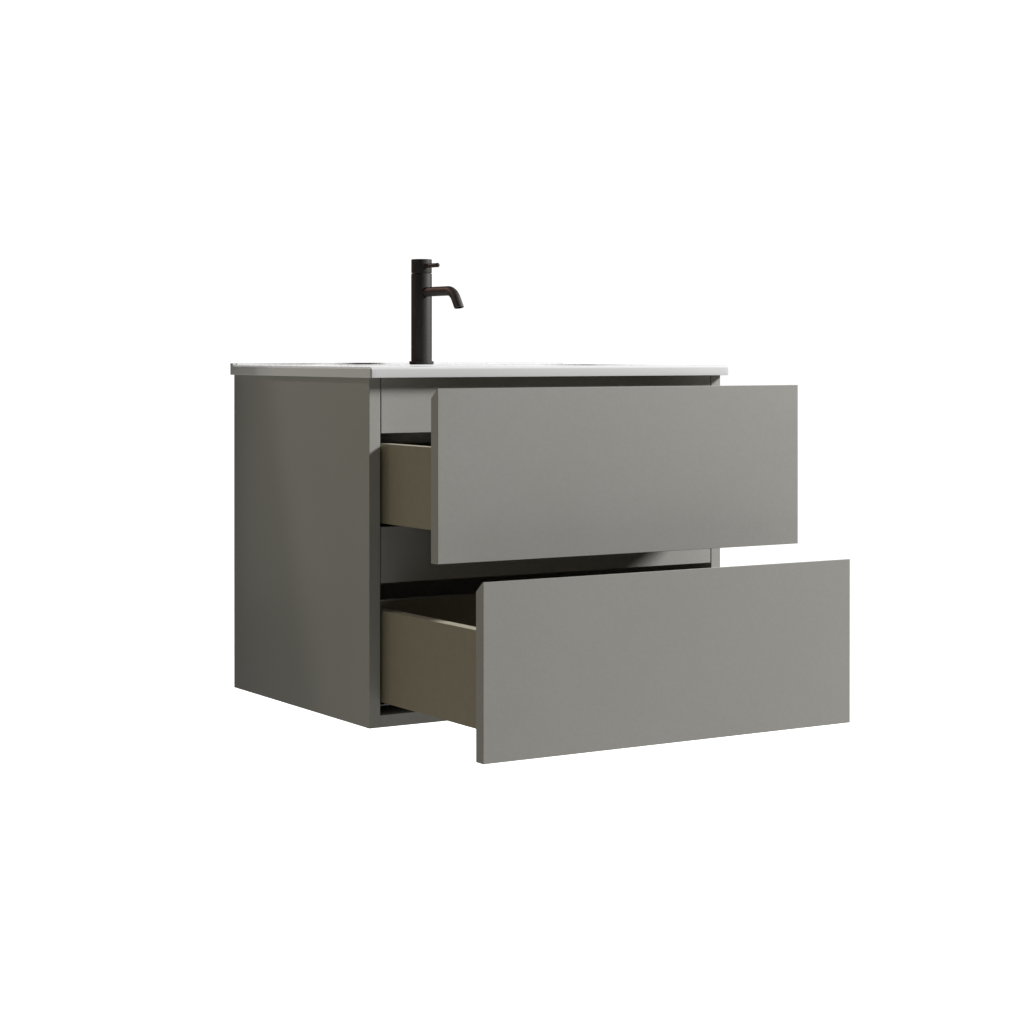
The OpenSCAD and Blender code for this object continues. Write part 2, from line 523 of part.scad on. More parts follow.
// The swivel turns in the cartridge and carries the cap's tilt pin
module tap_swivel() color(steel_c) {
  zrod(0, tap_y, [groove_z - 10, groove_z + 2], 5);
  zrod(0, tap_y, [groove_z + 0.4, groove_z + 2], 11.5);
  difference() {
    block([-4, 4], [tap_y + 4, tap_y + 11.4], [groove_z + 2, pivot_z + 1.9]);
    xrod([-6, 6], pivot_y, pivot_z, 1.05);
  }
  zrod(0, tap_y, [groove_z + 2, lever_z - 2], 4);
}
cap_r = tap_r - 0.15;
module tap_cap() color(black_c) difference() {
  union() {
    zrod(0, tap_y, [cap_z0, cap_z1 - 0.8], cap_r);
    translate([0, tap_y, cap_z1 - 0.8]) cylinder(r1 = cap_r, r2 = cap_r - 0.8, h = 0.8);
  }
  zrod(0, tap_y, [cap_z0 - 1, cap_z1 - 4.5], 13.2);
  yrod(0, [tap_y - 18, tap_y - 12], lever_z, 3.42);
  xrod([-12, 12], pivot_y, pivot_z, 1.01);
  // Sloped behind the pin, so that the cap's rear edge stays clear of the body when it tips
  translate([0, pivot_y, cap_z0]) rotate([18.5, 0, 0]) block([-20, 20], [0, 14], [-6, 0]);
}
module tap_lever_pin() color(black_c) {
  yrod(0, [tap_y - 48, tap_y - 13.4], lever_z, 3.4);
  translate([0, tap_y - 50.7, lever_z]) sphere(r = 3.6);
}
module tap_pivot_pin() color(steel_c) xrod([-11.5, 11.5], pivot_y, pivot_z, 1);

side_panel_left();
side_panel_right();
bottom_panel();
top_front_rail();
middle_front_rail();
rear_top_rail();
rear_lower_board();
cabinet_dowels();
cam_locks();
cam_bolts();
cabinet_hangers();
hanger_hooks();
wall_plates();
wall_spacer_strip();
silicone_beads();
upper_fixed_runners();
lower_fixed_runners();
runner_screws();
basin();
overflow_ring();
waste_body();
waste_gasket();
waste_back_nut();
waste_plug();
trap_bottle();
trap_cup();
trap_nuts();
trap_outlet_pipe();
tap_gasket();
tap_base_ring();
tap_body();
tap_spout();
tap_aerator();
tap_cartridge();
tap_stud();
tap_horseshoe_washer();
tap_stud_nut();
tap_swivel();
tap_cap();
tap_lever_pin();
tap_pivot_pin();
upper_front();
upper_side_left();
upper_side_right();
upper_back_panels();
upper_bottom();
upper_trap_surround();
upper_box_dowels();
upper_drawer_runners();
upper_runner_clips();
upper_middle_runners();
lower_front();
lower_side_left();
lower_side_right();
lower_back();
lower_bottom();
lower_box_dowels();
lower_drawer_runners();
lower_runner_clips();
lower_middle_runners();
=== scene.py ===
import json
import math
import bpy
import bmesh
from mathutils import Vector, Matrix

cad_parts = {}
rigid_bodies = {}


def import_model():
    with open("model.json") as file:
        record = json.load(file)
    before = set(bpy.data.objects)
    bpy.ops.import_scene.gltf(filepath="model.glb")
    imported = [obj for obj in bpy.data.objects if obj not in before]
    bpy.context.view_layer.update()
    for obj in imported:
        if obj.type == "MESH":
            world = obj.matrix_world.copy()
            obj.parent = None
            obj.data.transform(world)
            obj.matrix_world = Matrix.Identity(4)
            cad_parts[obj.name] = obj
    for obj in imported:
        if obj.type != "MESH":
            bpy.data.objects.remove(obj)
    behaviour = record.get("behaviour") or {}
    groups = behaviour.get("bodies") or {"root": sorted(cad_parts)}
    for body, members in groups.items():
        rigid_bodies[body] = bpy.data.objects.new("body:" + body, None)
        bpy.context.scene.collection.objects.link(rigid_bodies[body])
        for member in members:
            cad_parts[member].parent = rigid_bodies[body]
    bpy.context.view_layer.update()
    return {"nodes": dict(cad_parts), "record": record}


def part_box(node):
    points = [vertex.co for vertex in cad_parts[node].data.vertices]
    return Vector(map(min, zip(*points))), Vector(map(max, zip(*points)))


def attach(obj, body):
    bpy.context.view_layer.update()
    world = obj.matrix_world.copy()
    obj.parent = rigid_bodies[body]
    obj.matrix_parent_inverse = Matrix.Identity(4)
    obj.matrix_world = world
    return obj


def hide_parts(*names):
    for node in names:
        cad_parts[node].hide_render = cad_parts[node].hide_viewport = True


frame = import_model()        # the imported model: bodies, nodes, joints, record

MM = 0.001
scene = bpy.context.scene
NODES = frame["nodes"]
BODY_OF = {n: b for b, ns in frame["record"]["behaviour"]["bodies"].items() for n in ns}
SLOT_OF = {s["node"]: s["material_slot"] for s in frame["record"]["subparts"]}


# ------------------------------------------------------------------ camera
cam_data = bpy.data.cameras.new("view_camera")
cam = bpy.data.objects.new("view_camera", cam_data)
scene.collection.objects.link(cam)
cam.location = (-1.73674, -3.13250, 0.51853)
cam.rotation_euler = (math.radians(90), 0, math.radians(-31.784))
cam_data.sensor_width = 36.0
cam_data.lens = 2223.13 / 1024 * 36.0
cam_data.shift_x = 0.0
cam_data.shift_y = -(512 - 350) / 1024
cam_data.clip_start = 0.05
cam_data.clip_end = 60.0
cam_data.dof.use_dof = False
scene.camera = cam


# ------------------------------------------------------------------ materials
def srgb(r, g, b):
    out = []
    for v in (r, g, b):
        v /= 255.0
        out.append(v / 12.92 if v <= 0.04045 else ((v + 0.055) / 1.055) ** 2.4)
    return tuple(out) + (1.0,)


class Mat:
    """A small node-tree writer around one Principled shader, in object coordinates."""

    def __init__(self, name, color, rough, metal=0.0, spec=0.5, coat=0.0, coat_rough=0.1, sheen=0.0):
        self.m = bpy.data.materials.new(name)
        self.m.use_nodes = True
        self.t = self.m.node_tree
        self.t.nodes.clear()
        self.out = self.t.nodes.new("ShaderNodeOutputMaterial")
        self.p = self.t.nodes.new("ShaderNodeBsdfPrincipled")
        self.t.links.new(self.p.outputs[0], self.out.inputs[0])
        self.p.inputs["Base Color"].default_value = color if len(color) == 4 else tuple(color) + (1.0,)
        self.p.inputs["Roughness"].default_value = rough
        self.p.inputs["Metallic"].default_value = metal
        self.p.inputs["Specular IOR Level"].default_value = spec
        self.p.inputs["Coat Weight"].default_value = coat
        self.p.inputs["Coat Roughness"].default_value = coat_rough
        self.p.inputs["Sheen Weight"].default_value = sheen
        self.color = self.p.inputs["Base Color"].default_value[:]
        self.rough = rough
        self.coord = self.t.nodes.new("ShaderNodeTexCoord").outputs["Object"]
        self.height = None
        self.tint = None

    def n(self, kind, **sets):
        node = self.t.nodes.new(kind)
        for k, v in sets.items():
            if k in node.inputs.keys():
                node.inputs[k].default_value = v
            else:
                setattr(node, k, v)
        return node

    def link(self, a, b):
        self.t.links.new(a, b)

    def stretched(self, scale):
        m = self.n("ShaderNodeMapping")
        m.inputs["Scale"].default_value = scale
        self.link(self.coord, m.inputs["Vector"])
        return m.outputs[0]

    def noise(self, scale, detail=3.0, rough=0.5, vec=None, distort=0.0):
        t = self.n("ShaderNodeTexNoise", Scale=scale, Detail=detail, Roughness=rough, Distortion=distort)
        self.link(vec if vec is not None else self.coord, t.inputs["Vector"])
        return t.outputs["Fac"]

    def ranged(self, fac, a0, a1, b0, b1):
        r = self.n("ShaderNodeMapRange")
        r.inputs["From Min"].default_value = a0
        r.inputs["From Max"].default_value = a1
        r.inputs["To Min"].default_value = b0
        r.inputs["To Max"].default_value = b1
        self.link(fac, r.inputs["Value"])
        return r.outputs["Result"]

    def vary(self, fac, dark, light, low=0.3, high=0.7):
        """Base colour runs from dark to light as fac goes from low to high; several calls multiply."""
        ramp = self.n("ShaderNodeValToRGB")
        ramp.color_ramp.elements[0].position = low
        ramp.color_ramp.elements[0].color = tuple(dark) + (1.0,)
        ramp.color_ramp.elements[1].position = high
        ramp.color_ramp.elements[1].color = tuple(light) + (1.0,)
        self.link(fac, ramp.inputs["Fac"])
        mul = self.n("ShaderNodeMix", data_type="RGBA", blend_type="MULTIPLY")
        mul.inputs[0].default_value = 1.0
        if self.tint is None:
            mul.inputs[6].default_value = self.color
        else:
            self.link(self.tint, mul.inputs[6])
        self.link(ramp.outputs[0], mul.inputs[7])
        self.tint = mul.outputs[2]
        self.link(self.tint, self.p.inputs["Base Color"])
        return self

    def rough_from(self, fac, spread, low=0.3, high=0.7):
        self.link(self.ranged(fac, low, high, max(0.02, self.rough - spread), min(1.0, self.rough + spread)), self.p.inputs["Roughness"])
        return self

    def bump(self, fac, strength, distance):
        b = self.n("ShaderNodeBump", Strength=strength, Distance=distance)
        self.link(fac, b.inputs["Height"])
        if self.height is not None:
            self.link(self.height, b.inputs["Normal"])
        self.height = b.outputs[0]
        self.link(self.height, self.p.inputs["Normal"])
        return self


def make_lacquer(name, color):
    m = Mat(name, color, 0.56, spec=0.42)
    fine = m.noise(900.0, 4.0, 0.6)
    mid = m.noise(260.0, 3.0, 0.55)
    cloud = m.noise(7.0, 2.0, 0.5)
    m.vary(fine, (0.955, 0.955, 0.955), (1.04, 1.04, 1.04))
    m.vary(mid, (0.975, 0.974, 0.972), (1.02, 1.02, 1.02))
    m.vary(cloud, (0.985, 0.983, 0.978), (1.012, 1.012, 1.014))
    m.rough_from(mid, 0.05)
    m.bump(fine, 0.10, 0.0003)
    m.bump(mid, 0.05, 0.0006)
    return m.m


def make_box_board(name="drawer_box_linen", color=(0.248, 0.223, 0.158, 1.0), spec=0.35):
    m = Mat(name, color, 0.5, spec=spec)
    warp = m.noise(1.0, 2.0, 0.6, vec=m.stretched((60.0, 1500.0, 60.0)))
    weft = m.noise(1.0, 2.0, 0.6, vec=m.stretched((1500.0, 60.0, 60.0)))
    rise = m.noise(1.0, 2.0, 0.6, vec=m.stretched((70.0, 70.0, 1500.0)))
    m.vary(warp, (0.95, 0.945, 0.935), (1.03, 1.03, 1.03))
    m.vary(weft, (0.965, 0.96, 0.95), (1.025, 1.025, 1.025))
    m.vary(rise, (0.96, 0.955, 0.945), (1.025, 1.025, 1.025))
    m.rough_from(warp, 0.06)
    m.bump(warp, 0.12, 0.0002)
    m.bump(rise, 0.12, 0.0002)
    return m.m


def make_glaze():
    m = Mat("basin_glaze", (0.81, 0.818, 0.82, 1.0), 0.12, spec=0.5, coat=0.5, coat_rough=0.04)
    wave = m.noise(14.0, 2.0, 0.45)
    speck = m.noise(420.0, 2.0, 0.5)
    m.vary(wave, (0.992, 0.992, 0.99), (1.0, 1.0, 1.0))
    m.rough_from(speck, 0.03)
    return m.m


def make_black():
    m = Mat("tap_black", (0.0275, 0.0235, 0.0205, 1.0), 0.56, spec=0.42)
    grain = m.noise(1500.0, 3.0, 0.6)
    patch = m.noise(38.0, 3.0, 0.55)
    m.vary(patch, (0.93, 0.92, 0.91), (1.06, 1.05, 1.04))
    m.rough_from(grain, 0.06)
    m.bump(grain, 0.10, 0.0002)
    return m.m


def make_steel(name, color, rough, streak):
    m = Mat(name, color, rough, metal=1.0)
    spangle = m.noise(75.0, 3.0, 0.6, distort=1.2)
    lines = m.noise(1.0, 2.0, 0.6, vec=m.stretched(streak))
    m.vary(spangle, (0.84, 0.85, 0.87), (1.05, 1.05, 1.04))
    m.vary(lines, (0.94, 0.94, 0.94), (1.03, 1.03, 1.03))
    m.rough_from(spangle, 0.08)
    m.bump(lines, 0.08, 0.0002)
    return m.m


def make_plastic(name, color, rough, scale=700.0):
    m = Mat(name, color, rough, spec=0.45)
    grain = m.noise(scale, 3.0, 0.55)
    flow = m.noise(22.0, 2.0, 0.5)
    m.vary(flow, (0.965, 0.963, 0.958), (1.01, 1.01, 1.01))
    m.rough_from(grain, 0.05)
    m.bump(grain, 0.08, 0.0002)
    return m.m


def make_rubber(name, color, rough=0.75):
    m = Mat(name, color, rough, spec=0.3, sheen=0.05)
    grain = m.noise(1100.0, 4.0, 0.65)
    dust = m.noise(45.0, 4.0, 0.6)
    m.vary(dust, (0.85, 0.85, 0.85), (1.3, 1.28, 1.25))
    m.rough_from(dust, 0.08)
    m.bump(grain, 0.18, 0.0002)
    return m.m


def make_beech():
    m = Mat("dowel_beech", srgb(196, 160, 118), 0.55)
    grain = m.noise(1.0, 5.0, 0.6, vec=m.stretched((60.0, 900.0, 900.0)), distort=0.4)
    m.vary(grain, (0.72, 0.66, 0.58), (1.08, 1.06, 1.02), 0.35, 0.65)
    m.bump(grain, 0.2, 0.0002)
    return m.m


# painted light: the carcass boards take a lighter copy of the front lacquer, standing in for the extra light on the
# rails and panel edges
LACQUER = make_lacquer("carcass_lacquer_painted_lighter", (0.380, 0.371, 0.347, 1.0))
FRONT_LACQUER = make_lacquer("front_lacquer", (0.355, 0.347, 0.324, 1.0))
BOXBOARD = make_box_board()
# painted light: a lighter copy of the linen board for up-facing faces, standing in for the light falling on the
# boards' tops
PAINTED_LIT_TOP = make_box_board("drawer_box_painted_lit_top", (0.436, 0.408, 0.328, 1.0), 0.35)
# painted shade: the drawers' floors take a much darker copy of the linen board, standing in for the shade inside the
# boxes
PAINTED_SHADE_FLOORBOARD = make_box_board("drawer_floor_linen_painted_shade", (0.080, 0.071, 0.053, 1.0), 0.3)
GLAZE = make_glaze()
# painted shade: a dark bluish grey for the white bowl's underside, standing in for the shade it sits in
PAINTED_SHADE_UNDERSIDE = make_rubber("basin_underside_painted_shade", (0.20, 0.21, 0.245, 1.0), 0.8)
BLACK = make_black()
ZINC = make_steel("zinc_sheet", (0.36, 0.37, 0.39, 1.0), 0.46, (900.0, 30.0, 900.0))
DIECAST = make_steel("zinc_cast", (0.50, 0.51, 0.53, 1.0), 0.42, (400.0, 400.0, 400.0))
WHITE = make_plastic("trap_white", (0.74, 0.74, 0.73, 1.0), 0.34)
GREY = make_plastic("clip_grey", (0.085, 0.086, 0.09, 1.0), 0.5)
DARK = make_plastic("aerator_black", (0.012, 0.012, 0.012, 1.0), 0.5)
RUBBER = make_rubber("seal_rubber", (0.015, 0.015, 0.015, 1.0))
SILICONE = make_rubber("silicone_white", (0.55, 0.55, 0.54, 1.0), 0.35)
BEECH = make_beech()
BY_SLOT = {"carcass": LACQUER, "drawer_box": BOXBOARD, "zinc_steel": ZINC, "black_finish": BLACK, "ceramic_white": GLAZE,
           "white_plastic": WHITE, "grey_plastic": GREY, "black_plastic": DARK, "rubber": RUBBER, "beech": BEECH, "silicone": SILICONE}
for n, o in NODES.items():
    mat = BY_SLOT[SLOT_OF[n]]
    if n == "cam_locks":
        mat = DIECAST
    o.data.materials.clear()
    o.data.materials.append(mat)


# ------------------------------------------------------------------ mesh helpers (lengths in mm)
def put(name, bm, mat, node, extra=(), scale=True):
    if scale:
        bmesh.ops.scale(bm, vec=(MM, MM, MM), verts=bm.verts)
    bmesh.ops.recalc_face_normals(bm, faces=bm.faces)
    me = bpy.data.meshes.new(name)
    bm.to_mesh(me)
    bm.free()
    me.materials.append(mat)
    o = bpy.data.objects.new(name, me)
    scene.collection.objects.link(o)
    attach(o, BODY_OF[node])
    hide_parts(node, *extra)
    return o


def soften(bm, width, seg=3, edges=None):
    res = bmesh.ops.bevel(bm, geom=list(edges if edges is not None else bm.edges), offset=width, segments=seg, profile=0.5, affect="EDGES", clamp_overlap=True)
    for f in res["faces"]:
        f.smooth = True


def cuboid(bm, lo, hi):
    vs = [bm.verts.new((x, y, z)) for x in (lo[0], hi[0]) for y in (lo[1], hi[1]) for z in (lo[2], hi[2])]
    for q in ((0, 1, 3, 2), (4, 6, 7, 5), (0, 4, 5, 1), (2, 3, 7, 6), (0, 2, 6, 4), (1, 5, 7, 3)):
        bm.faces.new([vs[i] for i in q])


def board(node, mat=None, width=0.6, seg=3):
    lo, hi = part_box(node)
    bm = bmesh.new()
    cuboid(bm, [v / MM for v in lo], [v / MM for v in hi])
    soften(bm, width, seg)
    return put(node + "_board", bm, mat or BY_SLOT[SLOT_OF[node]], node)


def prism(node, pts, axis, a0, a1, mat=None, width=0.6, seg=3, name=None, more=()):
    """pts is an outline in the two axes other than axis, in X, Y, Z order."""
    bm = bmesh.new()
    for outline, b0, b1 in ((pts, a0, a1),) + tuple(more):
        rings = []
        for a in (b0, b1):
            ring = []
            for p in outline:
                c = [p[0], p[1]]
                c.insert(axis, a)
                ring.append(bm.verts.new(c))
            rings.append(ring)
        k = len(outline)
        for i in range(k):
            bm.faces.new((rings[0][i], rings[0][(i + 1) % k], rings[1][(i + 1) % k], rings[1][i]))
        bm.faces.new(rings[0])
        bm.faces.new(rings[1])
    bmesh.ops.recalc_face_normals(bm, faces=bm.faces)
    soften(bm, width, seg)
    return put(name or node + "_board", bm, mat or BY_SLOT[SLOT_OF[node]], node)


def rounded(points, seg=5):
    """Polyline of (a, b, r): each corner is rounded by its own radius r."""
    out = []
    k = len(points)
    for i, (x, y, r) in enumerate(points):
        if r <= 0 or i in (0, k - 1):
            out.append((x, y))
            continue
        p, q = Vector(points[i - 1][:2]), Vector(points[i + 1][:2])
        c = Vector((x, y))
        u, v = (p - c), (q - c)
        lu, lv = u.length, v.length
        u.normalize(); v.normalize()
        ang = u.angle(v)
        if ang > math.pi - 1e-3:
            out.append((x, y))
            continue
        d = min(r / math.tan(ang / 2), lu * 0.49, lv * 0.49)
        rr = d * math.tan(ang / 2)
        centre = c + (u + v).normalized() * (rr / math.sin(ang / 2))
        a, b = c + u * d - centre, c + v * d - centre
        full = a.angle(b)
        for s in range(seg + 1):
            t = s / seg
            w = (a * math.sin((1 - t) * full) + b * math.sin(t * full)) / math.sin(full)
            out.append(tuple(centre + w))
    return out


def lathe(bm, profile, origin, axis="Z", n=96, ripple=None):
    """Turns (radius, height) points about an axis through origin. Radius 0 ends close the form."""
    rows = []
    for (r, h) in profile:
        if r < 1e-6:
            rows.append([(0.0, 0.0, h)])
        else:
            row = []
            for i in range(n):
                a = 2 * math.pi * i / n
                rr = r + (ripple(a, r, h) if ripple else 0.0)
                row.append((rr * math.cos(a), rr * math.sin(a), h))
            rows.append(row)
    def place(p):
        x, y, z = p
        if axis == "Z":
            q = (x, y, z)
        elif axis == "-Y":
            q = (x, -z, y)
        elif axis == "Y":
            q = (x, z, -y)
        else:
            q = (z, x, y)
        return (q[0] + origin[0], q[1] + origin[1], q[2] + origin[2])
    made = [[bm.verts.new(place(p)) for p in row] for row in rows]
    for a, b in zip(made, made[1:]):
        if len(a) == 1 and len(b) == 1:
            continue
        for i in range(n):
            j = (i + 1) % n
            if len(a) == 1:
                f = bm.faces.new((a[0], b[i], b[j]))
            elif len(b) == 1:
                f = bm.faces.new((a[i], a[j], b[0]))
            else:
                f = bm.faces.new((a[i], a[j], b[j], b[i]))
            f.smooth = True
    if len(made[0]) > 1 and len(made[-1]) > 1:
        for i in range(n):
            j = (i + 1) % n
            f = bm.faces.new((made[-1][i], made[-1][j], made[0][j], made[0][i]))
            f.smooth = True


def sharpen(o, degrees=32):
    for p in o.data.polygons:
        p.use_smooth = True
    o.data.set_sharp_from_angle(angle=math.radians(degrees))
    return o


def turned(node, profile, origin, axis="Z", n=96, mat=None, name=None, ripple=None, degrees=32):
    bm = bmesh.new()
    lathe(bm, profile, origin, axis, n, ripple)
    return sharpen(put(name or node + "_turned", bm, mat or BY_SLOT[SLOT_OF[node]], node), degrees)


def cut_with(o, bms):
    """Takes the given forms out of o with an exact boolean, applied."""
    for i, cutter in enumerate(bms):
        bmesh.ops.scale(cutter, vec=(MM, MM, MM), verts=cutter.verts)
        bmesh.ops.recalc_face_normals(cutter, faces=cutter.faces)
        me = bpy.data.meshes.new("cutter")
        cutter.to_mesh(me)
        cutter.free()
        c = bpy.data.objects.new("cutter", me)
        scene.collection.objects.link(c)
        mod = o.modifiers.new("cut", "BOOLEAN")
        mod.operation = "DIFFERENCE"
        mod.solver = "EXACT"
        mod.object = c
        bpy.context.view_layer.update()
        dg = bpy.context.evaluated_depsgraph_get()
        new = bpy.data.meshes.new_from_object(o.evaluated_get(dg))
        o.modifiers.remove(mod)
        o.data = new
        bpy.data.objects.remove(c)


# ------------------------------------------------------------------ cabinet boards
HW, IN_X, BOARD = 300.0, 283.0, 17.0
Y_BACK, Y_FRONT, CAB_H = -3.0, -443.0, 480.5
CAM_X = IN_X - 24.0


def cam_holes(o, seats):
    """Opens the round seats of the cam fittings, mirrored left and right: (y, z, axis) of each open face."""
    cutters = []
    for y, z, axis in seats:
        for sx in (-1, 1):
            b = bmesh.new()
            a, c = (-13, 1) if axis == "Z" else (-1, 13)
            lathe(b, [(0, a), (7.55, a), (7.55, c), (0, c)], (sx * CAM_X, y, z), axis, 40)
            cutters.append(b)
    cut_with(o, cutters)


for n in ("side_panel_left", "side_panel_right"):
    board(n, width=0.45)
cam_holes(board("bottom_panel", width=0.45), [(Y_FRONT + 113, BOARD, "Z"), (Y_BACK - 113, BOARD, "Z")])
cam_holes(board("rear_top_rail", width=0.45), [(Y_BACK - BOARD, 384.0, "Y")])
lo, hi = (Vector(v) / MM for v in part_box("rear_lower_board"))
o = prism("rear_lower_board", [(lo.x, lo.z), (hi.x, lo.z), (hi.x, hi.z), (100, hi.z), (100, 167), (-100, 167), (-100, hi.z), (lo.x, hi.z)], 1, lo.y, hi.y, width=0.45)
cam_holes(o, [(Y_BACK - BOARD, 57.0, "Y")])


def front_rail(node, z0, z1):
    g, d = 1.6, 4.0
    pts = [(-IN_X + g, Y_FRONT), (IN_X - g, Y_FRONT), (IN_X - g, Y_FRONT + d), (IN_X, Y_FRONT + d), (IN_X, Y_FRONT + BOARD),
           (-IN_X, Y_FRONT + BOARD), (-IN_X, Y_FRONT + d), (-IN_X + g, Y_FRONT + d)]
    cam_holes(prism(node, pts, 2, z0, z1, width=0.4), [(Y_FRONT + BOARD, z0 + 38.0, "-Y")])


front_rail("top_front_rail", 404.0, CAB_H)
front_rail("middle_front_rail", 198.3, 275.4)


# ------------------------------------------------------------------ drawers
def grip_front(node, yb, z0):
    t, h, drop, fw = 18.0, 228.5, 13.0, 597.5
    pts = [(yb, z0), (yb, z0 + h - drop), (yb - t + 1.5, z0 + h), (yb - t, z0 + h), (yb - t, z0)]
    prism(node, pts, 0, -fw / 2, fw / 2, width=0.5, mat=FRONT_LACQUER)


# painted light: every up-facing face of a board takes the lighter copy of the linen, as if lit from above
def paint_tops_lit(o):
    o.data.materials.append(PAINTED_LIT_TOP)
    for f in o.data.polygons:
        f.material_index = 1 if f.normal.z > 0.5 else 0


Y_UP, Y_LOW = -443.0 - 168.0, -443.0 - 282.4
grip_front("upper_front", Y_UP, 240.0)
grip_front("lower_front", Y_LOW, -1.5)
for n in ("upper_side_left", "upper_side_right", "lower_side_left", "lower_side_right", "lower_back"):
    paint_tops_lit(board(n, width=0.5))
# painted shade: the lower drawer's floor is the darkened linen
board("lower_bottom", PAINTED_SHADE_FLOORBOARD, width=0.5)

lo, hi = (Vector(v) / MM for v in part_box("upper_bottom"))
sur_lo, sur_hi = (Vector(v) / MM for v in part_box("upper_trap_surround"))
NOTCH = 75.0
notch_front = sur_lo.y + 12.0
# painted shade: the upper drawer's floor is the darkened linen
prism("upper_bottom", [(lo.x, lo.y), (hi.x, lo.y), (hi.x, hi.y), (NOTCH, hi.y), (NOTCH, notch_front), (-NOTCH, notch_front), (-NOTCH, hi.y), (lo.x, hi.y)],
      2, lo.z, hi.z, PAINTED_SHADE_FLOORBOARD, width=0.4)
paint_tops_lit(prism("upper_trap_surround", [(sur_lo.x, sur_lo.y), (sur_hi.x, sur_lo.y), (sur_hi.x, sur_hi.y), (NOTCH, sur_hi.y), (NOTCH, notch_front),
                                          (-NOTCH, notch_front), (-NOTCH, sur_hi.y), (sur_lo.x, sur_hi.y)], 2, sur_lo.z, sur_hi.z, width=0.5))
lo, hi = (Vector(v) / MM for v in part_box("upper_back_panels"))
bm = bmesh.new()
for a, b in ((lo.x, -NOTCH), (NOTCH, hi.x)):
    cuboid(bm, (a, lo.y, lo.z), (b, hi.y, hi.z))
soften(bm, 0.5)
paint_tops_lit(put("upper_back_boards", bm, BOXBOARD, "upper_back_panels"))


# ------------------------------------------------------------------ basin
RIM_Z, DRAIN_Y, TAP_Y = 496.0, -235.0, -57.0
FLOOR_Z = RIM_Z - 100.0
UNDER = FLOOR_Z - 10.0


def rr_sdf(px, py, cx, cy, hx, hy, r):
    qx, qy = abs(px - cx) - (hx - r), abs(py - cy) - (hy - r)
    return math.hypot(max(qx, 0.0), max(qy, 0.0)) + min(max(qx, qy), 0.0) - r


def ray_hits(angles, cx, cy, hx, hy, r):
    """Where rays from the drain's centre meet a rounded rectangle."""
    pts = []
    for a in angles:
        dx, dy = math.cos(a), math.sin(a)
        t0, t1 = 0.0, 520.0
        for _ in range(34):
            t = (t0 + t1) / 2
            if rr_sdf(dx * t, DRAIN_Y + dy * t, cx, cy, hx, hy, r) < 0:
                t0 = t
            else:
                t1 = t
        t = (t0 + t1) / 2
        pts.append((dx * t, DRAIN_Y + dy * t))
    return pts


